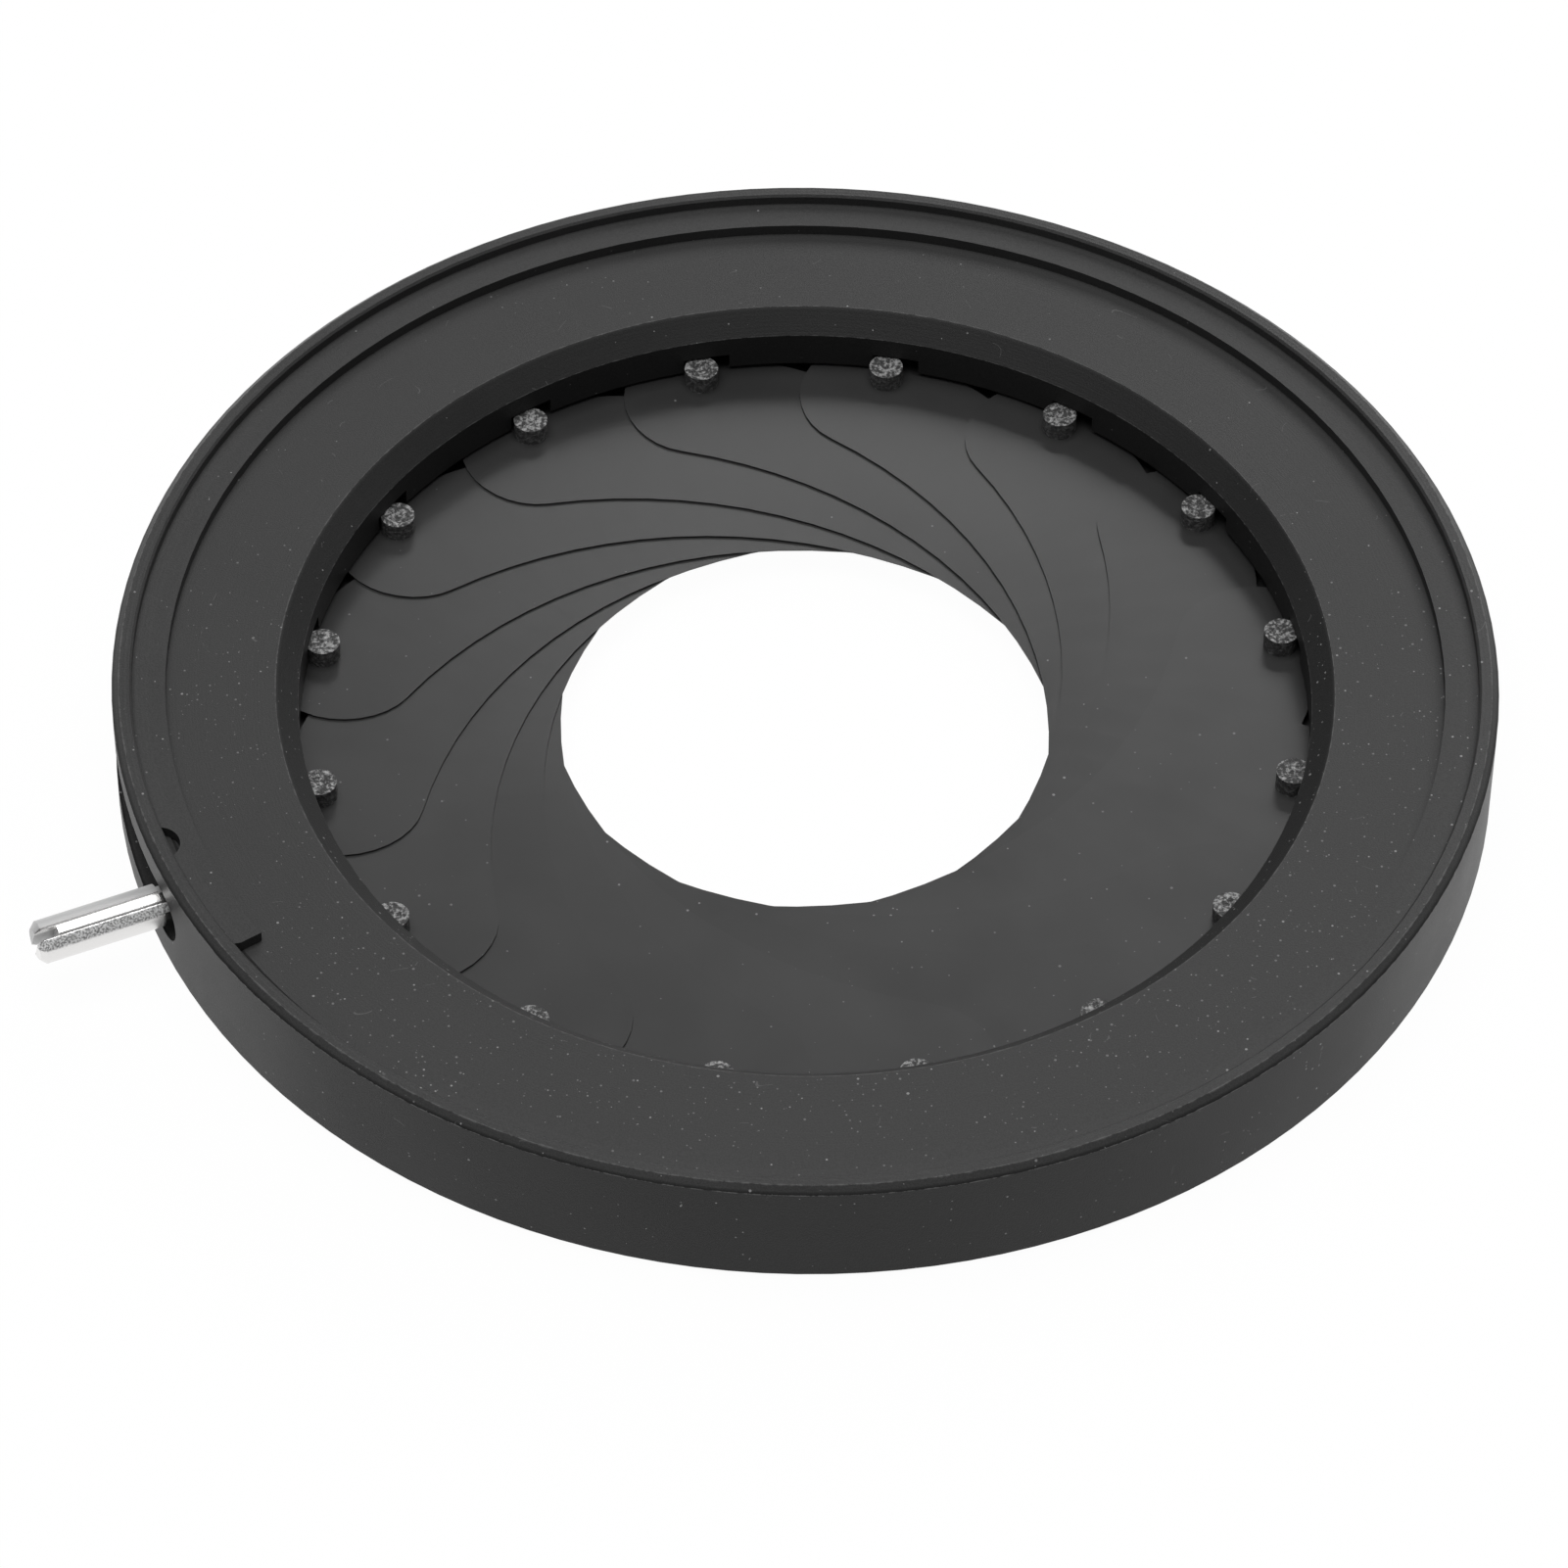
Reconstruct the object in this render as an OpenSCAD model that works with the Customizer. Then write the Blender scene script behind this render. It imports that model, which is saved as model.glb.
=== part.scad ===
// Iris diaphragm: thin blades between a fixed barrel and a turning drive ring.
//
// Lengths are in millimetres and angles in degrees. The origin is the centre of the
// barrel's rear face, and +Z points along the optical axis to the front rim. Turns are
// counter-clockwise as seen from the front. The model stands at rest with the opening
// partly closed; the drive ring turns back from there to open it fully.
//
// How it works: each blade has a pivot pin down into the barrel's floor and a guide pin
// up into a cam slot of the drive ring. Both pins stand on pin_circle_r when the iris is
// fully open. At rest the guide pin stands straight across the axis from its pivot, so
// the blade has turned by half the angle that the drive ring has turned.

/* [Opening] */
// Radius of the drive ring's bore, the widest way through the iris
bore_r = 34.85; // [30:0.05:40]
// How far the blades' inner edge stands inside the bore when fully open
blade_show = 1.05; // [0:0.05:1.5]

/* [Blades] */
// Number of blades
blade_count = 16; // [10:1:18]
// Width of a blade, from its inner arc to its outer arc
blade_w = 10.4; // [9:0.1:12]
// Thickness of a blade
blade_t = 0.08; // [0.04:0.01:0.09]
// Rise from each blade to the next one that lies over it
blade_step = 0.15; // [0.12:0.005:0.2]
// Distance from a blade's outer edge in to the axes of its pins
pin_inset = 3.2; // [2.6:0.1:4]
// Free height under the pack of blades
pack_clear = 0.12; // [0.05:0.01:0.4]
// Free height over the pack of blades
over_clear = 0.24; // [0.05:0.01:0.6]
// Direction of the first blade's guide pin at rest
first_pin_turn = 13.2; // [0:0.1:22]

/* [Pins] */
// How far inside the bore's radius the guide pins' axes stand at rest
guide_show = 0.85; // [0:0.05:1.8]
// Radius of a guide pin
guide_pin_r = 1.2; // [0.8:0.05:1.4]
// Height of a guide pin over its blade
guide_pin_h = 1.35; // [1:0.05:2]
// Radius of the riveting punch's dimple in the end of a guide pin
guide_dimple_r = 0.65; // [0.3:0.05:0.75]
// Depth of that dimple
guide_dimple_d = 0.25; // [0.1:0.05:0.6]
// Radius of a pivot pin
pivot_pin_r = 1; // [0.6:0.05:1.2]
// Gap between the end of a pivot pin and the rear face
pivot_pin_recess = 0.15; // [0:0.05:0.5]

/* [Barrel] */
// Thickness of the floor that carries the pivot pins
floor_t = 1.2; // [0.8:0.1:3]
// Thickness of the wall around the drive ring
wall_t = 2; // [1.8:0.1:5]
// Width of the shoulder that the drive ring turns on
shoulder_w = 0.8; // [0.4:0.1:2]
// Depth of the snap ring's groove in the wall
groove_depth = 1.15; // [0.9:0.05:1.3]
// How much wider the bore over the groove is than the drive ring's seat
rim_relief = 0.65; // [0.3:0.05:0.8]
// Height of the lip over the groove
rim_lip_h = 0.8; // [0.6:0.05:3]
// Chamfer around the front rim
rim_chamfer = 0.5; // [0.2:0.1:0.5]
// Chamfer at the front of the lip's bore
lip_chamfer = 0.15; // [0.05:0.05:0.3]
// Chamfer around the rear face
rear_chamfer = 0.4; // [0.2:0.1:0.8]

/* [Drive ring] */
// Height of the drive ring
ring_h = 4.25; // [4:0.05:8]
// Chamfer at the front of the drive ring's bore
bore_chamfer = 1.5; // [0.5:0.1:2]
// Chamfer around the drive ring's outer edges
ring_edge = 0.15; // [0.1:0.05:0.4]

/* [Snap ring] */
// Thickness of the snap ring
snap_t = 0.8; // [0.6:0.05:1.5]
// Width of the snap ring
snap_w = 2.8; // [2.6:0.05:4]
// Angle of the gap in the snap ring
snap_gap_angle = 20.5; // [12:0.5:40]
// Direction of the middle of that gap
snap_gap_turn = 225.25; // [0:0.25:360]
// Radius of the rounded outer corners at the ends
snap_corner_r = 1.7; // [0.5:0.1:2.5]
// Radius of the prising notch in the outer edge
snap_notch_r = 1.5; // [0.8:0.1:1.8]
// Angle from the end of the snap ring to its prising notch
snap_notch_angle = 13.2; // [10:0.1:30]

/* [Lever] */
// Radius of the lever pin's plain outer part
lever_r = 1.5; // [1.4:0.05:1.6]
// Radius of its threaded inner part, which screws into the drive ring
thread_r = 1.25; // [1:0.05:1.25]
// How far the threaded part stands out of the barrel
thread_reach = 0.1; // [0:0.1:2]
// How far the lever pin stands out of the barrel
lever_reach = 8.9; // [5:0.1:20]
// How far the lever pin goes into the drive ring
lever_bite = 7; // [4:0.1:9]
// Height of the lever pin's axis over the underside of the drive ring
lever_rise = 1.6; // [1.6:0.05:2.2]
// Direction of the lever pin at rest
lever_turn = 204.5; // [0:0.1:360]
// Chamfer at the tip of the lever pin
lever_tip_chamfer = 0.4; // [0.1:0.1:0.6]
// Width of the screwdriver slot in the tip
tip_slot_w = 0.7; // [0.4:0.1:1]
// Depth of the screwdriver slot
tip_slot_d = 1.5; // [0.8:0.1:2.5]
// Lean of the screwdriver slot about the lever pin's own axis
tip_slot_lean = 66; // [0:1:180]
// How far the drive ring turns past rest to its closing stop
stop_turn = 1; // [0:0.5:3]
// Clearance of the lever pin in the barrel's slot
lever_clear = 0.5; // [0.2:0.05:0.6]

/* [Fits] */
// Radial clearance of a pivot pin in the floor
pivot_fit = 0.03; // [0.01:0.01:0.1]
// Clearance of a guide pin at each side of its cam slot
guide_fit = 0.15; // [0.05:0.01:0.3]
// Radial clearance of the drive ring in the barrel
ring_fit = 0.05; // [0.02:0.01:0.1]
// Axial clearance of the drive ring over the shoulder and under the snap ring
ring_float = 0.03; // [0.01:0.01:0.1]
// Clearance between the blades' outer edge and the barrel
blade_clear = 0.5; // [0.3:0.1:1]
// Clearance between the floor's bore and the drive ring's bore
floor_relief = 0.15; // [0:0.05:1]

/* [Hidden] */
fine = 96;
black = [0.11, 0.11, 0.12];
blade_black = [0.16, 0.16, 0.17];
steel = [0.78, 0.78, 0.76];

// Names of the numbered nodes: blade_01, blade_02 and so on
function numbered(name, i) = str(name, "_", i < 10 ? "0" : "", i);
BLADES = [for (i = [1:blade_count]) i];

// Radii, from the bore outward
blade_in_r = bore_r - blade_show;
blade_out_r = blade_in_r + blade_w;
blade_mid_r = blade_in_r + blade_w / 2;
pin_circle_r = blade_out_r - pin_inset;
chamber_r = blade_out_r + blade_clear;
seat_r = chamber_r + shoulder_w;
ring_r = seat_r - ring_fit;
groove_r = seat_r + groove_depth;
rim_in_r = seat_r + rim_relief;
barrel_r = seat_r + wall_t;
floor_bore_r = bore_r + floor_relief;
guide_rest_r = bore_r - guide_show;

// Angles of the linkage. The two pins of a blade are pin_span apart; rest_angle is how
// far a blade has turned about its pivot at rest, and open_turn how far the drive ring
// turns back to open the iris.
pin_span = pin_circle_r + guide_rest_r;
rest_angle = acos(pin_span / (2 * pin_circle_r));
open_turn = 2 * rest_angle;
blade_sweep = 180 - 2 * rest_angle;
blade_pitch = 360 / blade_count;

// Heights. At rest the pack of blades is one even spiral stair around the axis: a
// blade climbs by blade_step in each blade_pitch from its pivot to its guide pin.
lobe_turn = 12;
pack_z = floor_t + pack_clear;
function blade_z(turn) = pack_z + blade_step * (turn + lobe_turn) / blade_pitch;
ring_z = blade_z(180 + lobe_turn) + blade_t + over_clear;
shoulder_z = ring_z - ring_float;
ring_top_z = ring_z + ring_h;
snap_z = ring_top_z + ring_float;
groove_top_z = snap_z + snap_t;
rim_z = groove_top_z + rim_lip_h;
guide_top_z = blade_z(180) + blade_t + guide_pin_h;
lever_z = ring_z + lever_rise;

// Where things stand around the axis
lever_slot_r = lever_r + lever_clear;
lever_tip_r = barrel_r + lever_reach;
function blade_turn(i) = first_pin_turn - 180 + (i - 1) * blade_pitch;

// ---- Barrel -------------------------------------------------------------------

// Half section of the barrel: floor, blade chamber, shoulder, seat, groove and lip
module barrel_section() {
    polygon([
        [floor_bore_r, 0],
        [barrel_r - rear_chamfer, 0],
        [barrel_r, rear_chamfer],
        [barrel_r, rim_z - rim_chamfer],
        [barrel_r - rim_chamfer, rim_z],
        [rim_in_r + lip_chamfer, rim_z],
        [rim_in_r, rim_z - lip_chamfer],
        [rim_in_r, groove_top_z],
        [groove_r, groove_top_z],
        [groove_r, snap_z],
        [seat_r, snap_z],
        [seat_r, shoulder_z],
        [chamber_r, shoulder_z],
        [chamber_r, floor_t],
        [floor_bore_r, floor_t]
    ]);
}

// Slot around the wall in which the lever pin travels, with ends as round as its cutter.
// The ends are a hair narrower than the channel, so that no two faces only just touch.
module lever_slot() {
    start = lever_turn - open_turn;
    end = lever_turn + stop_turn;
    end_r = lever_slot_r - 0.02;
    inner = chamber_r - 0.5;
    depth = barrel_r + 1 - inner;
    rotate([0, 0, start])
        rotate_extrude(angle = end - start, $fn = 2 * fine)
            translate([inner, lever_z - lever_slot_r]) square([depth, 2 * lever_slot_r]);
    for (turn = [start, end])
        rotate([0, 0, turn]) translate([inner - 0.5, 0, lever_z]) rotate([0, 90, 0])
            cylinder(r = end_r, h = depth + 1, $fn = 32);
}

module barrel() {
    color(black) difference() {
        rotate_extrude($fn = 2 * fine) barrel_section();
        lever_slot();
        for (i = BLADES)
            rotate([0, 0, blade_turn(i)]) translate([pin_circle_r, 0, -1])
                cylinder(r = pivot_pin_r + pivot_fit, h = floor_t + 2, $fn = 24);
    }
}

// ---- Drive ring ---------------------------------------------------------------

module drive_ring_section() {
    polygon([
        [bore_r, ring_z],
        [ring_r - ring_edge, ring_z],
        [ring_r, ring_z + ring_edge],
        [ring_r, ring_top_z - ring_edge],
        [ring_r - ring_edge, ring_top_z],
        [bore_r + bore_chamfer, ring_top_z],
        [bore_r, ring_top_z - bore_chamfer]
    ]);
}

// Place of a guide pin as seen from the drive ring, for a blade whose pivot stands at
// direction 0 at rest; `back` is the blade's turn from rest toward fully open
function cam_point(back) =
    let (x = pin_circle_r - pin_span * cos(back), y = pin_span * sin(back))
    [x * cos(2 * back) - y * sin(2 * back), x * sin(2 * back) + y * cos(2 * back)];

// Unit vector across the cam path at that place
function cam_normal(back) =
    let (step = 0.5, along = cam_point(back + step) - cam_point(back - step))
    [-along[1], along[0]] / norm(along);

// Cam slot: it runs from the pin's place at full opening to an open mouth in the bore.
// The path turns sharply close to its mouth, where the round cutter alone shapes it. The
// straight-sided stretch is a hair narrower, so that no two faces only just touch.
module cam_slot() {
    cutter_r = guide_pin_r + guide_fit;
    half_w = cutter_r - 0.02;
    mouth_back = 5;
    path = [for (k = [0:8]) mouth_back + (rest_angle - mouth_back) * k / 8];
    left = [for (back = path) cam_point(back) + half_w * cam_normal(back)];
    right = [for (k = [8:-1:0]) cam_point(path[k]) - half_w * cam_normal(path[k])];
    z0 = ring_z - 1;
    slot_h = guide_top_z + guide_fit - z0;
    translate([0, 0, z0]) {
        linear_extrude(slot_h) polygon(concat(left, right));
        for (back = [-stop_turn / 2, mouth_back / 2, mouth_back, rest_angle])
            translate(cam_point(back)) cylinder(r = cutter_r, h = slot_h, $fn = 32);
    }
}

module drive_ring() {
    color(black) difference() {
        rotate_extrude($fn = 2 * fine) drive_ring_section();
        for (i = BLADES) rotate([0, 0, blade_turn(i)]) cam_slot();
        rotate([0, 0, lever_turn]) translate([ring_r - lever_bite, 0, lever_z])
            rotate([0, 90, 0]) cylinder(r = thread_r, h = lever_bite + 1, $fn = 48);
    }
}

// ---- Snap ring ----------------------------------------------------------------

// Cuts the outer corner off an end of the ring down to a round one. The corner's centre
// stands at direction 0, and `side` is -1 or 1 for the way to the ring's end.
module snap_corner(side) {
    centre_r = groove_r - snap_corner_r + 0.05;
    translate([centre_r, 0, -1]) difference() {
        translate([0, side < 0 ? -snap_corner_r - 1 : 0, 0])
            cube([snap_corner_r + 1, snap_corner_r + 1, snap_t + 2]);
        translate([0, 0, -1]) cylinder(r = snap_corner_r, h = snap_t + 4, $fn = 48);
    }
}

// Flat spring ring, open at its gap, with rounded outer corners and a prising notch
module snap_ring() {
    start = snap_gap_turn + snap_gap_angle / 2;
    sweep = 360 - snap_gap_angle;
    corner_angle = snap_corner_r / groove_r * 180 / PI;
    color(black) translate([0, 0, snap_z]) difference() {
        rotate([0, 0, start]) rotate_extrude(angle = sweep, $fn = 2 * fine)
            translate([groove_r - snap_w, 0]) square([snap_w, snap_t]);
        rotate([0, 0, start + corner_angle]) snap_corner(-1);
        rotate([0, 0, start + sweep - corner_angle]) snap_corner(1);
        rotate([0, 0, start + sweep - snap_notch_angle]) translate([groove_r, 0, -1])
            cylinder(r = snap_notch_r, h = snap_t + 2, $fn = 32);
    }
}

// ---- Lever pin ----------------------------------------------------------------

// Round steel pin screwed into the drive ring, with a chamfered tip and a screwdriver
// slot. The thread is plain, at the radius where it fills the tapped hole.
module lever_pin() {
    length = lever_tip_r - ring_r + lever_bite;
    thread_length = barrel_r + thread_reach - ring_r + lever_bite;
    color(steel) rotate([0, 0, lever_turn])
        translate([ring_r - lever_bite, 0, lever_z]) rotate([0, 90, 0])
            difference() {
                rotate_extrude($fn = 48) polygon([
                    [0, 0],
                    [thread_r, 0],
                    [thread_r, thread_length],
                    [lever_r, thread_length],
                    [lever_r, length - lever_tip_chamfer],
                    [lever_r - lever_tip_chamfer, length],
                    [0, length]
                ]);
                rotate([0, 0, 90 + tip_slot_lean])
                    translate([-lever_r - 1, -tip_slot_w / 2, length - tip_slot_d])
                        cube([2 * lever_r + 2, tip_slot_w, tip_slot_d + 1]);
            }
}

// ---- Blades -------------------------------------------------------------------

// A blade is a ring sector with round ends. It is built as it stands at rest, with its
// pivot at direction 0, so its own arcs are centred off the optical axis.
arc_centre = pin_circle_r * [1 - cos(rest_angle), -sin(rest_angle)];

// Cross sections of the blade as [angle about arc_centre, half width]. The pins stand at
// angles 0 and blade_sweep, and the ends are rounded about the same angles.
end_step = 12;
body_steps = 33;
function end_angle(tip) = blade_w / 2 * sin(tip) / blade_mid_r * 180 / PI;
BLADE_SECTIONS = concat(
    [for (tip = [84:-end_step:end_step]) [-end_angle(tip), blade_w / 2 * cos(tip)]],
    [for (k = [0:body_steps]) [blade_sweep * k / body_steps, blade_w / 2]],
    [for (tip = [end_step:end_step:84]) [blade_sweep + end_angle(tip), blade_w / 2 * cos(tip)]]
);

// Direction of a point around the optical axis, from -90 to 270
function turn_of(p) = atan2(p[1], p[0]) < -90 ? atan2(p[1], p[0]) + 360 : atan2(p[1], p[0]);

// Point of the blade at an angle and radius about arc_centre, `lift` over its underside
function blade_point(angle, r, lift) =
    let (p = arc_centre + r * [cos(angle + rest_angle), sin(angle + rest_angle)])
    [p[0], p[1], blade_z(turn_of(p)) + lift];

// A quad as two triangles
function split(a, b, c, d) = [[a, b, c], [a, c, d]];

module blade_sheet() {
    last = len(BLADE_SECTIONS) - 1;
    // Four points in each section: inner and outer edge below, then above
    points = [
        for (s = BLADE_SECTIONS, lift = [0, blade_t], side = [-1, 1])
            blade_point(s[0], blade_mid_r + side * s[1], lift)
    ];
    faces = concat(
        split(0, 2, 3, 1),
        [for (k = [0:last - 1]) let (a = 4 * k, b = a + 4) each concat(
            split(a, a + 1, b + 1, b),
            split(a + 2, b + 2, b + 3, a + 3),
            split(a, b, b + 2, a + 2),
            split(b + 1, a + 1, a + 3, b + 3)
        )],
        let (e = 4 * last) split(e + 1, e + 3, e + 2, e)
    );
    polyhedron(points = points, faces = faces, convexity = 4);
}

module blade(i) {
    color(blade_black) rotate([0, 0, blade_turn(i)]) blade_sheet();
}

// Pin riveted through the blade, standing up into the drive ring's cam slot
module guide_pin(i) {
    z0 = blade_z(180);
    h = guide_top_z - z0;
    color(steel) rotate([0, 0, blade_turn(i)]) translate([-guide_rest_r, 0, z0]) difference() {
        cylinder(r = guide_pin_r, h = h, $fn = 32);
        translate([0, 0, h - guide_dimple_d])
            cylinder(r1 = 0, r2 = guide_dimple_r, h = guide_dimple_d, $fn = 32);
    }
}

// Pin riveted through the blade, standing down into its hole in the floor
module pivot_pin(i) {
    color(steel) rotate([0, 0, blade_turn(i)]) translate([pin_circle_r, 0, pivot_pin_recess])
        cylinder(r = pivot_pin_r, h = blade_z(0) + blade_t - pivot_pin_recess, $fn = 32);
}

// ---- Nodes --------------------------------------------------------------------

barrel();
drive_ring();
snap_ring();
lever_pin();
for (i = BLADES) {
    blade(i);
    guide_pin(i);
    pivot_pin(i);
}
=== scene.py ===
# %% [markdown]
# # An iris diaphragm, dressed for the camera
#
# An iris diaphragm is the adjustable pupil of an optical instrument. Sixteen thin steel
# blades lie over each other like stairs around a hole. A lever turns a ring, the ring
# pushes one pin of every blade, and the hole opens or closes.
#
# The solid parts are already made to size in CAD and come in as a fixed frame. What is
# left for Blender is everything that light does with them: the dull black of anodised
# aluminium, the satin of blackened steel, the gleam of a turned pin, and the dust and
# rubbed edges that any handled part has. The unit is the metre, the optical axis is Z,
# and the rear face of the barrel stands on z = 0.

# %% Load the finished model
import math
import bpy
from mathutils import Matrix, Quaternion, Vector


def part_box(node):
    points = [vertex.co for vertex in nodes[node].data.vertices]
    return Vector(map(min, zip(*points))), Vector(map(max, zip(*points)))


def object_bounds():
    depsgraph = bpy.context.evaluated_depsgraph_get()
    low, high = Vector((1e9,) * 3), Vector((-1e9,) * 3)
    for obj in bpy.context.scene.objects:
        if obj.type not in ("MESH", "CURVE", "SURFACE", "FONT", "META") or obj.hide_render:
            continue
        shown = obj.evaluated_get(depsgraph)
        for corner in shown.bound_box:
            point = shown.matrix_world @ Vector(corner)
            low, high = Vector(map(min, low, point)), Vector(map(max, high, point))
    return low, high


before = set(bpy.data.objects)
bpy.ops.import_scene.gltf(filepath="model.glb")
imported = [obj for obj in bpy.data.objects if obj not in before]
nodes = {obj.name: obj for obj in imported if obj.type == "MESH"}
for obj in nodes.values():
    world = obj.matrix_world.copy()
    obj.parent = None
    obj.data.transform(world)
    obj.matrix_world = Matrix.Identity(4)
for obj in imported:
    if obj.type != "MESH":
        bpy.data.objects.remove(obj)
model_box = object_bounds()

MM = 0.001

# %% [markdown]
# ## Camera
#
# A small part is usually shot from well back with a long lens, so that near and far edge
# keep almost the same scale. Here the camera stands 0.54 m away and looks down at about
# 47 degrees. It could be aimed with a constraint, but a few lines of vector work leave a
# plain camera with nothing attached: point its -Z axis at the part, then roll it by the
# half degree or so that a hand-set tripod is off level. The lens and the sensor are given
# in millimetres, as on a real camera.

# %% Set the camera
CAMERA_AT = Vector((0.0, -376.02, 404.25)) * MM
AIM_AT = Vector((-1.356, -7.790, 4.5)) * MM
ROLL = math.radians(0.627)
FOCAL_LENGTH = 182.786
SENSOR_WIDTH = 36.0
NEAREST_SEEN = 0.01

lens = bpy.data.cameras.new("long_lens")
lens.lens = FOCAL_LENGTH
lens.sensor_width = SENSOR_WIDTH
lens.clip_start = NEAREST_SEEN
camera = bpy.data.objects.new("camera", lens)
bpy.context.scene.collection.objects.link(camera)
camera.location = CAMERA_AT
camera.rotation_mode = "QUATERNION"
camera.rotation_quaternion = ((AIM_AT - CAMERA_AT).to_track_quat("-Z", "Y")
                              @ Quaternion((0.0, 0.0, 1.0), ROLL))
bpy.context.scene.camera = camera
print("camera is %.3f m from its aim" % (AIM_AT - CAMERA_AT).length)

# %% [markdown]
# ## Node helpers
#
# Every material below is a small graph of shader nodes. Building them by hand takes three
# moves again and again: add a node, set its values, connect it. The first helper does all
# three, and the others put it to work on the nodes that are needed most, so that the
# recipe of a finish stays readable.

# %% Helpers for shader graphs
def add(tree, kind, into=None, **settings):
    """Adds a node, sets its properties, and feeds its inputs with values or sockets."""
    node = tree.nodes.new(kind)
    for name, value in settings.items():
        setattr(node, name, value)
    for name, source in (into or {}).items():
        socket = node.inputs[name]
        if isinstance(source, bpy.types.NodeSocket):
            tree.links.new(source, socket)
        else:
            socket.default_value = source
    return node


def maths(tree, operation, *terms, clamp=False):
    """One Math node: its terms are numbers or sockets."""
    node = add(tree, "ShaderNodeMath", dict(enumerate(terms)), operation=operation, use_clamp=clamp)
    return node.outputs[0]


def remap(tree, value, low, high, to_low=0.0, to_high=1.0):
    """Stretches a value from low..high to to_low..to_high, with smooth ends."""
    into = {"Value": value, "From Min": low, "From Max": high, "To Min": to_low, "To Max": to_high}
    return add(tree, "ShaderNodeMapRange", into, interpolation_type="SMOOTHSTEP").outputs[0]


def sway(tree, value, middle, spread, low=0.3, high=0.7):
    """Lets a value that runs from low to high move a number by spread to each side of middle."""
    return remap(tree, value, low, high, middle - spread, middle + spread)


def noise(tree, spot, scale, detail, roughness=0.5):
    """A cloudy value around 0.5. A higher scale makes smaller lumps, and detail adds finer ones."""
    into = {"Vector": spot, "Scale": scale, "Detail": detail, "Roughness": roughness}
    return add(tree, "ShaderNodeTexNoise", into).outputs["Fac"]


def blend_colour(tree, mask, under, over):
    """Mixes two colours by a mask. A Mix node takes its colours at inputs 6 and 7 and gives
    the mixed colour at output 2."""
    return add(tree, "ShaderNodeMix", {0: mask, 6: under, 7: over}, data_type="RGBA").outputs[2]


def from_axis(tree, spot):
    """How far a point is from the optical axis."""
    flat = add(tree, "ShaderNodeVectorMath", {0: spot, 1: (1.0, 1.0, 0.0)}, operation="MULTIPLY")
    length = add(tree, "ShaderNodeVectorMath", {0: flat.outputs[0]}, operation="LENGTH")
    return length.outputs["Value"]


def grey(level, warmth=0.0):
    """A nearly neutral colour as the shader wants it."""
    return (level * (1 + warmth), level, level * (1 - warmth), 1.0)


print("helpers ready")

# %% [markdown]
# ## Shared effects
#
# Some effects turn up on several of the metals here, only in different amounts: fine
# grain, rings left by a lathe, dust, hairline scratches, and edges rubbed pale. They
# could be copied into each material, but then each copy would have to be tuned apart. A
# node group is built once, has named inputs, and gives out masks and heights, so each
# material places it with its own values.
#
# All of them work from the place of a point on the part, in millimetres. That needs no
# unwrapping, has the right scale by itself, and stays put when the parts move.

# %% Start a node group
def new_group(name, inputs, outputs):
    """An empty node group with named sockets. Inputs give (name, type, default)."""
    group = bpy.data.node_groups.new(name, "ShaderNodeTree")
    for label, kind, value in inputs:
        socket = group.interface.new_socket(label, in_out="INPUT", socket_type="NodeSocket" + kind)
        if value is not None:
            socket.default_value = value
    for label in outputs:
        group.interface.new_socket(label, in_out="OUTPUT", socket_type="NodeSocketFloat")
    takes = group.nodes.new("NodeGroupInput").outputs
    gives = group.nodes.new("NodeGroupOutput").inputs
    return group, takes, gives


def place(tree, group, into):
    """Puts a shared group into a material and returns its outputs."""
    return add(tree, "ShaderNodeGroup", into, node_tree=group).outputs


print("group helpers ready")

# %% [markdown]
# ### Grain
#
# Anodised aluminium is etched before it is dyed, which leaves a surface like very fine
# leather: soft hollows about a tenth of a millimetre across. Blackened sheet has a finer
# grain. Hollows as small as these could be cut into the mesh only with millions of faces,
# and all that shows of them is how they break up the light, so a noise as bump does it.
# A second, larger noise makes the tone cloudy, because no real finish is perfectly even.

# %% Grain group
grain, takes, gives = new_group(
    "surface_grain",
    [("Place", "Vector", None), ("Grain Size", "Float", 0.1), ("Cloud Size", "Float", 12.0)],
    ["Height", "Cloud"])
fine_scale = maths(grain, "DIVIDE", 1.0, takes["Grain Size"])
cloud_scale = maths(grain, "DIVIDE", 1.0, takes["Cloud Size"])
grain.links.new(noise(grain, takes["Place"], fine_scale, 2.0, 0.6), gives["Height"])
grain.links.new(noise(grain, takes["Place"], cloud_scale, 3.0, 0.55), gives["Cloud"])
print("built", grain.name)

# %% [markdown]
# ### Dust
#
# Dust on black metal shows as scattered pale specks with bare stretches between them. It
# could be strewn as thousands of grains, but then the part would carry shapes that aren't
# its own, so it is only colour here. A Voronoi texture splits space into cells with one
# random point each, and a random colour for each cell. The three parts of that colour are
# three lots to draw: whether the cell keeps its speck, how large the speck is, most of
# them tiny, and how pale it is.
#
# A slow noise thins the whole field out in places, so the specks never look sown in rows.
# Dust also gathers on the side where it settled longest, so the field thickens from the
# back of the part toward the front, along -Y.

# %% Dust group
DRIFT_PER_MM = 0.07
THICKER_PER_MM = 0.0080
BARE_STRETCH = 0.1
THICK_STRETCH = 2.6
FAINTEST = 0.4

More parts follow.
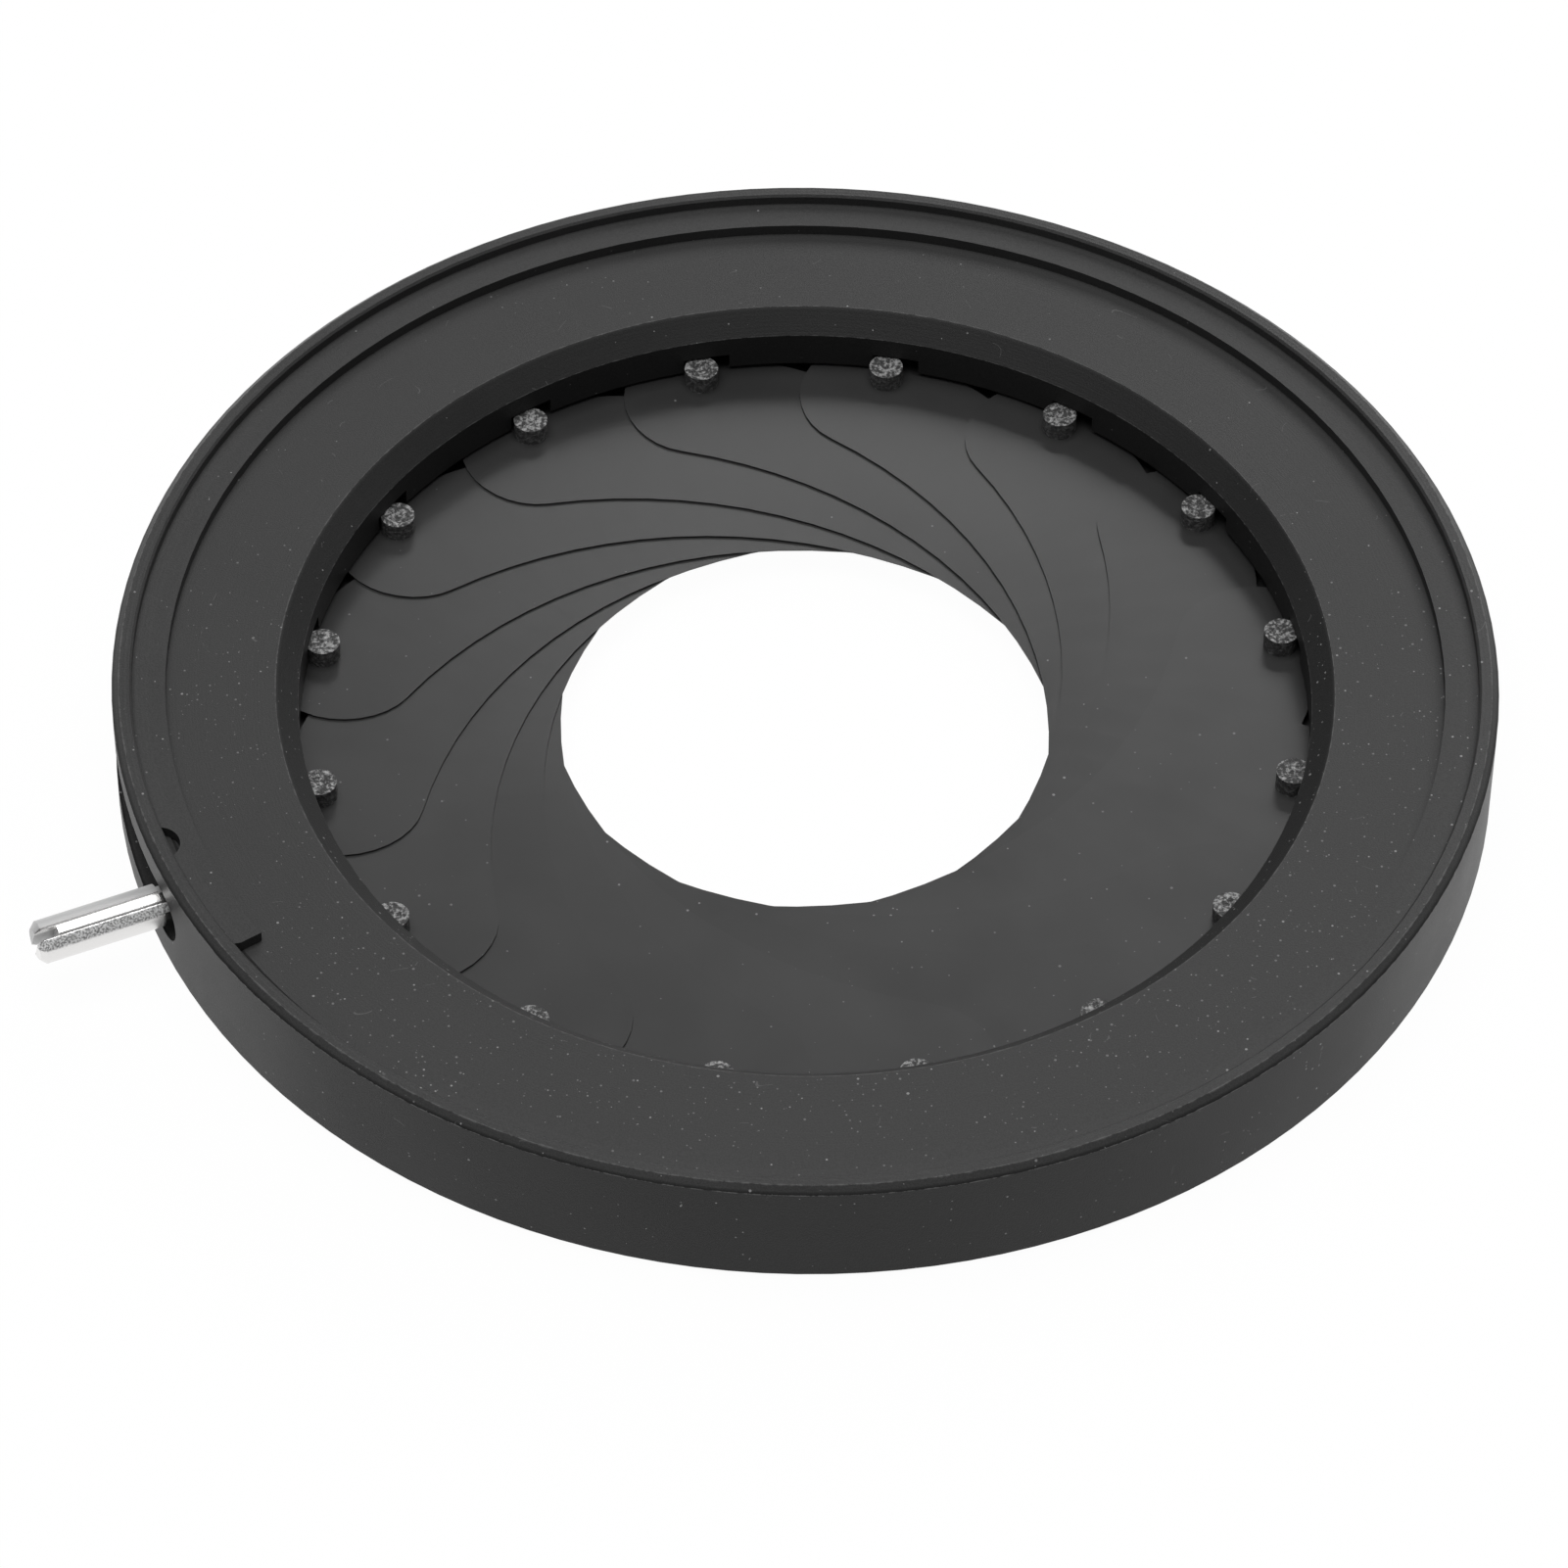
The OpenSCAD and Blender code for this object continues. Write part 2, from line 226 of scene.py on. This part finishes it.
dust, takes, gives = new_group(
    "dust_specks",
    [("Place", "Vector", None), ("Spacing", "Float", 1.2), ("Speck Size", "Float", 0.06),
     ("Share", "Float", 0.25)],
    ["Mask"])
cells = add(dust, "ShaderNodeTexVoronoi",
            {"Vector": takes["Place"], "Scale": maths(dust, "DIVIDE", 1.0, takes["Spacing"])})
keep_lot, size_lot, pale_lot = add(dust, "ShaderNodeSeparateColor", {0: cells.outputs["Color"]}).outputs
mostly_tiny = maths(dust, "ADD", 0.5, maths(dust, "POWER", size_lot, 3.0))
size = maths(dust, "MULTIPLY", takes["Speck Size"], mostly_tiny)
size_in_cell = maths(dust, "DIVIDE", size, takes["Spacing"])
speck = maths(dust, "LESS_THAN", cells.outputs["Distance"], size_in_cell)
toward_front = add(dust, "ShaderNodeVectorMath", {0: takes["Place"], 1: (0.0, -THICKER_PER_MM, 0.0)},
                   operation="DOT_PRODUCT").outputs["Value"]
settled = maths(dust, "ADD", noise(dust, takes["Place"], DRIFT_PER_MM, 1.0), toward_front)
thickness = remap(dust, settled, 0.3, 0.8, BARE_STRETCH, THICK_STRETCH)
odds = maths(dust, "MULTIPLY", takes["Share"], thickness)
kept = maths(dust, "MULTIPLY", speck, maths(dust, "LESS_THAN", keep_lot, odds))
paleness = maths(dust, "ADD", FAINTEST, maths(dust, "MULTIPLY", pale_lot, 1 - FAINTEST))
dust.links.new(maths(dust, "MULTIPLY", paleness, kept), gives["Mask"])
print("built", dust.name)

# %% [markdown]
# ### Rings left by the lathe
#
# A turned face carries fine circles around its axis. A wave texture could draw them, but
# its rings are all alike. Here only the distance from the axis is fed to a noise, so every
# point at one radius gets the same height, and uneven circles come out by themselves. The
# feed is how far the tool moved out in each turn.

# %% Turning marks group
turning, takes, gives = new_group(
    "turning_marks", [("Place", "Vector", None), ("Feed", "Float", 0.12)], ["Height"])
turns = maths(turning, "DIVIDE", from_axis(turning, takes["Place"]), takes["Feed"])
circles = add(turning, "ShaderNodeTexNoise", {"W": turns, "Scale": 1.0, "Detail": 2.0},
              noise_dimensions="1D")
turning.links.new(circles.outputs["Fac"], gives["Height"])
print("built", turning.name)

# %% [markdown]
# ### Rubbed and highlit edges
#
# Black anodising is thinnest on a sharp edge, and that is where hands and tools touch it,
# so an edge wears to a thin, broken, paler line. The same pale line also stands for the
# highlight that a rounded edge catches, so it is partly a painted highlight. Blender can
# look for edges by how pointed a mesh is, but that asks for far more faces than these
# parts have. On a turned part it takes less: every such edge is a circle, with one radius
# and one height. The group measures how far a point is from that circle, and a noise
# nibbles at the width of the line.

# %% Edge wear and highlight group
THINNEST = 0.05
THICKEST = 1.6

edge_shine_and_wear, takes, gives = new_group(
    "edge_wear_and_highlight",
    [("Place", "Vector", None), ("Edge Radius", "Float", 47.0), ("Edge Height", "Float", 9.0),
     ("Width", "Float", 0.1)],
    ["Mask"])
height = add(edge_shine_and_wear, "ShaderNodeSeparateXYZ", {0: takes["Place"]}).outputs["Z"]
across = maths(edge_shine_and_wear, "SUBTRACT", from_axis(edge_shine_and_wear, takes["Place"]), takes["Edge Radius"])
upward = maths(edge_shine_and_wear, "SUBTRACT", height, takes["Edge Height"])
squares = maths(edge_shine_and_wear, "ADD", maths(edge_shine_and_wear, "MULTIPLY", across, across),
                maths(edge_shine_and_wear, "MULTIPLY", upward, upward))
distance = maths(edge_shine_and_wear, "SQRT", squares)
nibble = noise(edge_shine_and_wear, takes["Place"], 1.4, 5.0, 0.75)
band = maths(edge_shine_and_wear, "MULTIPLY", takes["Width"], remap(edge_shine_and_wear, nibble, 0.38, 0.66, THINNEST, THICKEST))
near = maths(edge_shine_and_wear, "SUBTRACT", 1.0, maths(edge_shine_and_wear, "DIVIDE", distance, band), clamp=True)
edge_shine_and_wear.links.new(near, gives["Mask"])
print("built", edge_shine_and_wear.name)

# %% [markdown]
# ### Hairline scratches
#
# Handling leaves a few short, thin, slightly curved marks: scratches, and fibres of the
# cloth that wiped the part. They could be drawn one by one, but nobody looks for any one of
# them. The line along which a slow noise crosses its middle value is a long wandering
# curve. Keeping a very narrow band around it gives a hairline, and a second noise cuts
# the line into short, rare pieces.

# %% Scratches group
MIDDLE = 0.5
HALF_A_HAIR = 0.0028
CUTS_PER_CURVE = 2.5

scratches, takes, gives = new_group(
    "hairline_scratches",
    [("Place", "Vector", None), ("Spacing", "Float", 5.0), ("Share", "Float", 0.3)],
    ["Mask"])
slow = maths(scratches, "DIVIDE", 1.0, takes["Spacing"])
curves = noise(scratches, takes["Place"], slow, 1.0)
off_middle = maths(scratches, "ABSOLUTE", maths(scratches, "SUBTRACT", curves, MIDDLE))
hairline = maths(scratches, "LESS_THAN", off_middle, HALF_A_HAIR)
cuts = noise(scratches, takes["Place"], maths(scratches, "MULTIPLY", slow, CUTS_PER_CURVE), 2.0)
untouched = maths(scratches, "SUBTRACT", 1.0, takes["Share"])
touched = maths(scratches, "GREATER_THAN", cuts, untouched)
scratches.links.new(maths(scratches, "MULTIPLY", hairline, touched), gives["Mask"])
print("built", scratches.name)

# %% [markdown]
# ## Finishes
#
# Each material starts the same way: one Principled shader, and the place of the point in
# millimetres. What differs is which effects feed it.

# %% Start a material
def new_finish(name, **values):
    """A material with one Principled shader. Values that never change go on its sockets."""
    material = bpy.data.materials.new(name)
    material.use_nodes = True
    tree = material.node_tree
    shader = tree.nodes["Principled BSDF"]
    for label, value in values.items():
        shader.inputs[label.replace("_", " ")].default_value = value
    metres = add(tree, "ShaderNodeTexCoord").outputs["Object"]
    millimetres = add(tree, "ShaderNodeVectorMath", {0: metres, "Scale": 1 / MM}, operation="SCALE")
    return material, tree, shader, millimetres.outputs[0]


def raise_surface(tree, shader, height, depth):
    """Turns a height into a bump. Depth is how many metres a height of 1 stands for."""
    bump = add(tree, "ShaderNodeBump", {"Height": height, "Distance": depth})
    tree.links.new(bump.outputs[0], shader.inputs["Normal"])


print("ready to mix finishes")

# %% [markdown]
# ### Wear, edge highlights and dust
#
# Wear and dust lie over a finish, so they are blended over its colour one after another:
# first the rubbed edges with their painted highlight, then the scratches, and the dust on
# top of everything. The dust comes in two layers, one of scattered specks and one about
# three times as close.

# %% Put wear, edge highlights and dust over a colour
RUBBED_AND_HIGHLIT_EDGE = grey(0.30)
SCRATCHED_METAL = grey(0.16)
SCRATCH_STRENGTH = 0.35
DUST_ON_METAL = grey(0.42)
SCATTERED_STRENGTH = 0.65
CLOSE_STRENGTH = 0.55


def worn_and_highlit(tree, here, colour, edges, scratch_share):
    """Edges give (radius, height, width, strength) of each rubbed edge, whose pale line is also a
    painted highlight, in millimetres.
    """
    for edge_radius, edge_height, width, strength in edges:
        edge_line = place(tree, edge_shine_and_wear, {"Place": here, "Edge Radius": edge_radius,
                                    "Edge Height": edge_height, "Width": width})
        # The pale edge line is rubbed metal and a painted highlight in one.
        mask = maths(tree, "MULTIPLY", edge_line["Mask"], strength)
        colour = blend_colour(tree, mask, colour, RUBBED_AND_HIGHLIT_EDGE)
    lines = place(tree, scratches, {"Place": here, "Spacing": 4.0, "Share": scratch_share})
    mask = maths(tree, "MULTIPLY", lines["Mask"], SCRATCH_STRENGTH)
    return blend_colour(tree, mask, colour, SCRATCHED_METAL)


def dusted(tree, here, colour, share):
    """Share sets how many cells keep their speck."""
    scattered = place(tree, dust, {"Place": here, "Spacing": 1.3, "Speck Size": 0.07, "Share": share})
    close = place(tree, dust, {"Place": here, "Spacing": 0.45, "Speck Size": 0.062, "Share": share})
    powder = maths(tree, "MAXIMUM", maths(tree, "MULTIPLY", scattered["Mask"], SCATTERED_STRENGTH),
                   maths(tree, "MULTIPLY", close["Mask"], CLOSE_STRENGTH))
    return blend_colour(tree, powder, colour, DUST_ON_METAL)


print("wear and dust ready")

# %% [markdown]
# ### Black anodised aluminium
#
# The barrel and the drive ring are turned from aluminium, etched dull and dyed black. The
# dye never reaches true black: in a bright room it reads as charcoal, because the rough
# oxide scatters light at its surface. The recipe is a dark base that the etch makes
# grainy and cloudy, a fairly high roughness, the etched grain and the turning marks as
# bump, and the wear, the painted edge highlights and the dust over them.
#
# The base has two tones that meet at a given radius. The darker one is painted shade,
# where a face gets less light: the barrel's outer wall and the drive ring's bore and chamfer.

# %% Mix the anodised finish
ETCH_DEPTH = 0.018 * MM
MARKS_SHARE = 0.5
TONE_SEAM = 0.1


def anodised(name, tones_and_shade, edges, dust_share, scratch_share, feed, sheen=0.3, roughness=0.55):
    """Tones and shade give (inner tone, radius where it changes, outer tone); the darker tone is
    painted shade. Lengths are in millimetres.
    """
    material, tree, shader, here = new_finish(name, IOR=1.5, Specular_IOR_Level=sheen)
    texture = place(tree, grain, {"Place": here, "Grain Size": 0.11, "Cloud Size": 11.0})
    marks = place(tree, turning, {"Place": here, "Feed": feed})
    inner_tone, border, outer_tone = tones_and_shade
    # The darker tone is painted shade, on faces that get less light.
    tone = remap(tree, from_axis(tree, here), border - TONE_SEAM, border + TONE_SEAM,
                 inner_tone, outer_tone)
    cloudy = sway(tree, texture["Cloud"], 1.0, 0.06)
    grainy = sway(tree, texture["Height"], 1.0, 0.18, low=0.25, high=0.75)
    shade = maths(tree, "MULTIPLY", tone, maths(tree, "MULTIPLY", cloudy, grainy))
    colour = add(tree, "ShaderNodeCombineXYZ", {"X": shade, "Y": shade, "Z": shade}).outputs[0]
    colour = worn_and_highlit(tree, here, colour, edges, scratch_share)
    tree.links.new(dusted(tree, here, colour, dust_share), shader.inputs["Base Color"])
    tree.links.new(sway(tree, texture["Cloud"], roughness, 0.03), shader.inputs["Roughness"])
    marks_height = maths(tree, "MULTIPLY", marks["Height"], MARKS_SHARE)
    surface = maths(tree, "ADD", texture["Height"], marks_height)
    raise_surface(tree, shader, surface, ETCH_DEPTH)
    return material


print("ready to anodise")

# %% [markdown]
# The barrel's outer wall is painted darker than its rim, as painted shade, and both edges
# of the rim's chamfer carry a pale line, rubbed and painted highlight in one. The drive
# ring is painted darker on its bore and the chamfer above it than on its wide face, also as
# painted shade; the wide face lies open and holds most of the dust.

# %% Anodise the barrel and the drive ring
BARREL_R = model_box[1][1] / MM
RIM_Z = model_box[1][2] / MM
RIM_CHAMFER = 0.5
WALL_SKIN = 0.15
barrel_finish = anodised(
    "anodised_barrel", tones_and_shade=(0.040, BARREL_R - WALL_SKIN, 0.015),
    edges=[(BARREL_R - RIM_CHAMFER, RIM_Z, 0.09, 0.24), (BARREL_R, RIM_Z - RIM_CHAMFER, 0.05, 0.4)],
    dust_share=0.09, scratch_share=0.33, feed=0.16, sheen=0.22, roughness=0.42)

RING_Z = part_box("drive_ring")[1].z / MM
BORE_R = 34.85
BORE_CHAMFER = 1.5
ring_finish = anodised(
    "anodised_drive_ring", tones_and_shade=(0.017, BORE_R + BORE_CHAMFER - TONE_SEAM, 0.032),
    edges=[(BORE_R + BORE_CHAMFER, RING_Z, 0.06, 0.2), (BORE_R, RING_Z - BORE_CHAMFER, 0.05, 0.2)],
    dust_share=0.5, scratch_share=0.34, feed=0.2)
print("rim at %.3f mm, drive ring's face at %.3f mm" % (RIM_Z, RING_Z))

# %% [markdown]
# ### Blackened spring steel
#
# The snap ring is stamped from flat spring steel and blackened. Its black comes so close
# to the anodising beside it that the same recipe serves, with almost one tone all over,
# no rubbed edges and less dust. What parts it from the drive ring is the line of shadow
# between them, not its colour.

# %% Mix the spring steel
SNAP_SEAM_R = 45.0
snap_finish = anodised("black_spring_steel", tones_and_shade=(0.032, SNAP_SEAM_R, 0.034), edges=[],
                       dust_share=0.2, scratch_share=0.30, feed=0.3)
print("mixed", snap_finish.name)

# %% [markdown]
# ### Blade steel
#
# The blades are blackened spring steel as thin as paper. They are smoother than the rings
# around them, so light lies on them in long soft gradients. Steel asks for full Metallic,
# but the black is a film of oxide that covers it, so the base is a dark dielectric with a
# middling roughness. The rolling grain of the sheet is kept so fine that it only breaks
# the highlight. Sheets from different baths never come out equally black, and that small
# difference helps the eye to tell one blade from the next, so the recipe is mixed three
# times with a slightly different tone.

# %% Mix the blade steel
ROLLED_DEPTH = 0.002 * MM
BLADE_ROUGHNESS = 0.30
DUST_ON_BLADES = grey(0.35)
BLADE_DUST_STRENGTH = 0.6
BLADE_TONES = {"blackened_blade_steel": 0.0292, "blackened_blade_steel_pale": 0.0310,
               "blackened_blade_steel_deep": 0.0276}


def blade_steel(name, tone):
    """One bath of blade steel."""
    material, tree, shader, here = new_finish(name, IOR=1.5)
    texture = place(tree, grain, {"Place": here, "Grain Size": 0.05, "Cloud Size": 7.0})
    specks = place(tree, dust, {"Place": here, "Spacing": 0.8, "Speck Size": 0.07, "Share": 0.32})
    cloudy = sway(tree, texture["Cloud"], 1.0, 0.05)
    film = add(tree, "ShaderNodeVectorMath", {0: grey(tone)[:3], "Scale": cloudy}, operation="SCALE")
    powder = maths(tree, "MULTIPLY", specks["Mask"], BLADE_DUST_STRENGTH)
    colour = blend_colour(tree, powder, film.outputs[0], DUST_ON_BLADES)
    tree.links.new(colour, shader.inputs["Base Color"])
    satin = sway(tree, texture["Cloud"], BLADE_ROUGHNESS, 0.015)
    tree.links.new(satin, shader.inputs["Roughness"])
    raise_surface(tree, shader, texture["Height"], ROLLED_DEPTH)
    return material


blade_finishes = [blade_steel(name, tone) for name, tone in BLADE_TONES.items()]
print("mixed", len(blade_finishes), "baths of blade steel")

# %% [markdown]
# ### Blackened pins
#
# The pins of the blades are tiny rivets with pressed, pebbled ends. The blackening grew on
# them in crystals, and the bright chunks where they catch the light are painted glints,
# pale colour on a nearly black ground. A guide pin is only 2.4 mm across, so the chunks
# are left to the material. One coarse noise does two jobs: where it stands high, the
# surface rises and the colour turns pale, so the bright chunks are also the raised ones.
# The cells of a Voronoi texture cut pits between them. The direction that the surface
# faces decides how bright a chunk may be, as painted light from above: the sides of a pin
# stay darker.

# %% Mix the pin finish
PEBBLE_DEPTH = 0.3 * MM
LUMPS_PER_MM = 3.4
CRYSTALS_PER_MM = 4.6
PIT_SHARE = 0.35
SIDE_BRIGHTNESS = 0.25
PIN_BLACK = grey(0.05)
PIN_GLINT = grey(0.50)

pin_finish, tree, shader, here = new_finish("blackened_pin_steel", IOR=1.5)
lumps = noise(tree, here, LUMPS_PER_MM, 4.0, 0.7)
crystals = add(tree, "ShaderNodeTexVoronoi", {"Vector": here, "Scale": CRYSTALS_PER_MM})
pits = maths(tree, "MULTIPLY", crystals.outputs["Distance"], PIT_SHARE)
pebbles = maths(tree, "SUBTRACT", lumps, pits)
facing = add(tree, "ShaderNodeTexCoord").outputs["Normal"]
facing_up = add(tree, "ShaderNodeSeparateXYZ", {0: facing}).outputs["Z"]
# Painted glints: pale colour on the high lumps, brightest on faces turned up, as painted light from
# above.
painted_glint = maths(tree, "MULTIPLY", remap(tree, lumps, 0.44, 0.66),
              remap(tree, facing_up, 0.2, 0.8, SIDE_BRIGHTNESS, 1.0))
tree.links.new(blend_colour(tree, painted_glint, PIN_BLACK, PIN_GLINT), shader.inputs["Base Color"])
tree.links.new(remap(tree, lumps, 0.3, 0.7, 0.6, 0.35), shader.inputs["Roughness"])
raise_surface(tree, shader, pebbles, PEBBLE_DEPTH)
print("mixed", pin_finish.name)

# %% [markdown]
# ### Bright turned steel
#
# The lever is a plain steel pin, left bright. Polished metal shows little but its
# reflections, so it needs a pale base, full Metallic, and something bright around it to
# reflect. Its bands are partly painted light. The angle around its own axis, counted in
# radians from its top toward the front, tells them apart: the back is a matt grey up to
# the top, painted shade that holds down the back lamp's highlight, then comes a stripe
# that is still polished, then a mottled band on the flank, a mottled finish that is also
# a painted reflection of a bright room in front, and below that it is polished again.
# Each border is a pair of angles, between which one band fades into the next. Where the
# pin is matt or mottled, Metallic falls and the roughness rises.

# %% Find the bands around the pin
LEVER_TURN = math.radians(204.5)
LEVER_Z = sum(corner.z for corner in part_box("lever_pin")) / 2 / MM
BACK_ENDS = (-0.05, 0.12)
FLANK_STARTS = (0.66, 0.74)
FLANK_ENDS = (1.15, 1.30)

lever_finish, tree, shader, here = new_finish("bright_turned_steel")
along_pin = add(tree, "ShaderNodeVectorRotate", {"Vector": here, "Angle": -LEVER_TURN},
                rotation_type="Z_AXIS").outputs[0]
section = add(tree, "ShaderNodeSeparateXYZ", {0: along_pin}).outputs
around = maths(tree, "ARCTAN2", section["Y"], maths(tree, "SUBTRACT", section["Z"], LEVER_Z))
# Painted shade: a matt grey band over the back of the pin, up to its top, tames the back lamp's
# highlight.
shaded_back = remap(tree, around, *BACK_ENDS, 1.0, 0.0)
# The flank band is a mottled finish and also a painted reflection of a bright room in front.
reflecting_flank = maths(tree, "MULTIPLY", remap(tree, around, *FLANK_STARTS),
              remap(tree, around, *FLANK_ENDS, 1.0, 0.0))
print("the pin's axis lies at %.3f mm" % LEVER_Z)

# %% Mix the bright steel
MOTTLE_DEPTH = 0.04 * MM
BACK_MATT = 0.65
FLANK_MATT = 0.75
POLISHED_ROUGHNESS = 0.20
MATT_ADDS = 0.4
POLISHED = grey(0.78, 0.01)
BACK_SHADE_GREY = grey(0.60)
MOTTLE_DARK = grey(0.26)
MOTTLE_PALE_REFLECTION = grey(0.85)

texture = place(tree, grain, {"Place": here, "Grain Size": 0.14, "Cloud Size": 1.6})
matt = maths(tree, "ADD", maths(tree, "MULTIPLY", shaded_back, BACK_MATT),
             maths(tree, "MULTIPLY", reflecting_flank, FLANK_MATT))
# The pale part of the mottle is painted reflection over a real mottled finish.
mottle_and_reflection = blend_colour(tree, remap(tree, texture["Height"], 0.38, 0.60), MOTTLE_DARK, MOTTLE_PALE_REFLECTION)
# The grey back is painted shade.
shaded_back_colour = blend_colour(tree, shaded_back, POLISHED, BACK_SHADE_GREY)
tree.links.new(blend_colour(tree, reflecting_flank, shaded_back_colour, mottle_and_reflection), shader.inputs["Base Color"])
tree.links.new(maths(tree, "SUBTRACT", 1.0, matt), shader.inputs["Metallic"])
dullness = maths(tree, "ADD", POLISHED_ROUGHNESS, maths(tree, "MULTIPLY", matt, MATT_ADDS))
tree.links.new(dullness, shader.inputs["Roughness"])
raise_surface(tree, shader, maths(tree, "MULTIPLY", texture["Height"], reflecting_flank), MOTTLE_DEPTH)
print("mixed", lever_finish.name)

# %% [markdown]
# ## Give each part its finish
#
# The parts keep their shapes, so dressing one means no more than putting a material in
# its slot. The numbered parts go by their names without the number, and the blades take
# the three baths in turn.

# %% Put the finishes on
FINISHES = {"barrel": barrel_finish, "drive_ring": ring_finish, "snap_ring": snap_finish,
            "lever_pin": lever_finish, "guide_pin": pin_finish, "pivot_pin": pin_finish}


def finish_of(name):
    """The finish of a part, by its name."""
    kind, _, number = name.rpartition("_")
    if kind == "blade":
        return blade_finishes[int(number) % len(blade_finishes)]
    return FINISHES[kind if kind in FINISHES else name]


for name, part in nodes.items():
    part.data.materials.clear()
    part.data.materials.append(finish_of(name))
print("dressed", len(nodes), "parts")

# %% [markdown]
# ## Floor
#
# The part stands on seamless white. A floor that had to be lit to pure white would flood
# the black metal with light from below. Instead, the camera and mirror rays see a floor
# that glows at strength 1, mixed with a little of a plain diffuse floor, which keeps the
# soft shadow under the part. The floor lies a hair below the rear face, so that the two
# never share a plane.

# %% Lay the floor
REACH = 3.0
FLOOR_Z = -0.2 * MM
GLOW_SHARE = 0.975
PAPER = grey(0.95)
WHITE = grey(1.0)

floor_mesh = bpy.data.meshes.new("floor")
floor_mesh.from_pydata([(-REACH, -REACH, FLOOR_Z), (REACH, -REACH, FLOOR_Z),
                        (REACH, REACH, FLOOR_Z), (-REACH, REACH, FLOOR_Z)], [], [(0, 1, 2, 3)])
floor = bpy.data.objects.new("floor", floor_mesh)
bpy.context.scene.collection.objects.link(floor)
floor_paper = bpy.data.materials.new("white_paper")
floor_paper.use_nodes = True
tree = floor_paper.node_tree
tree.nodes.clear()
paper = add(tree, "ShaderNodeBsdfDiffuse", {"Color": PAPER})
glow = add(tree, "ShaderNodeEmission", {"Color": WHITE, "Strength": 1.0})
ray = add(tree, "ShaderNodeLightPath").outputs
seen = maths(tree, "ADD", ray["Is Camera Ray"],
             maths(tree, "ADD", ray["Is Glossy Ray"], ray["Is Transmission Ray"]), clamp=True)
share = maths(tree, "MULTIPLY", seen, GLOW_SHARE)
mixed = add(tree, "ShaderNodeMixShader", {0: share, 1: paper.outputs[0], 2: glow.outputs[0]})
add(tree, "ShaderNodeOutputMaterial", {"Surface": mixed.outputs[0]})
floor_mesh.materials.append(floor_paper)
print("floor laid")

# %% [markdown]
# ## Light
#
# Matt black metal is lit with large, soft sources. A picture of a studio wrapped around
# the scene could do it, but two lamps are easier to aim. A wide softbox stands behind the
# part and to its right, near the direction that the blades mirror to the camera, and draws
# the gradient over them. A larger one hangs overhead and lights every upper face alike.
# The world adds an even grey from everywhere, so that the side wall doesn't go dead, while
# the camera sees plain white in its place.

# %% Hang the lamps
def softbox(name, at, width, height, watts):
    """A rectangular lamp that points at the origin."""
    lamp = bpy.data.lights.new(name, "AREA")
    lamp.shape = "RECTANGLE"
    lamp.size = width
    lamp.size_y = height
    lamp.energy = watts
    box = bpy.data.objects.new(name, lamp)
    bpy.context.scene.collection.objects.link(box)
    box.location = at
    box.rotation_euler = (-Vector(at)).to_track_quat("-Z", "Y").to_euler()


softbox("back_softbox", at=(0.25, 0.62, 0.43), width=0.66, height=0.34, watts=2.55)
softbox("top_softbox", at=(-0.1, -0.05, 1.3), width=1.0, height=1.0, watts=13.5)
print("two lamps hung")

# %% Light the room
ROOM_STRENGTH = 0.16

world = bpy.data.worlds.new("room")
bpy.context.scene.world = world
world.use_nodes = True
tree = world.node_tree
tree.nodes.clear()
room = add(tree, "ShaderNodeBackground", {"Color": WHITE, "Strength": ROOM_STRENGTH})
backdrop = add(tree, "ShaderNodeBackground", {"Color": WHITE, "Strength": 1.0})
ray = add(tree, "ShaderNodeLightPath").outputs
mixed = add(tree, "ShaderNodeMixShader",
            {0: ray["Is Camera Ray"], 1: room.outputs[0], 2: backdrop.outputs[0]})
add(tree, "ShaderNodeOutputWorld", {"Surface": mixed.outputs[0]})
bpy.context.scene.view_settings.view_transform = "Standard"
print("room lit at strength", ROOM_STRENGTH)

# %% Print the sizes
print("cad box", [list(corner) for corner in model_box])
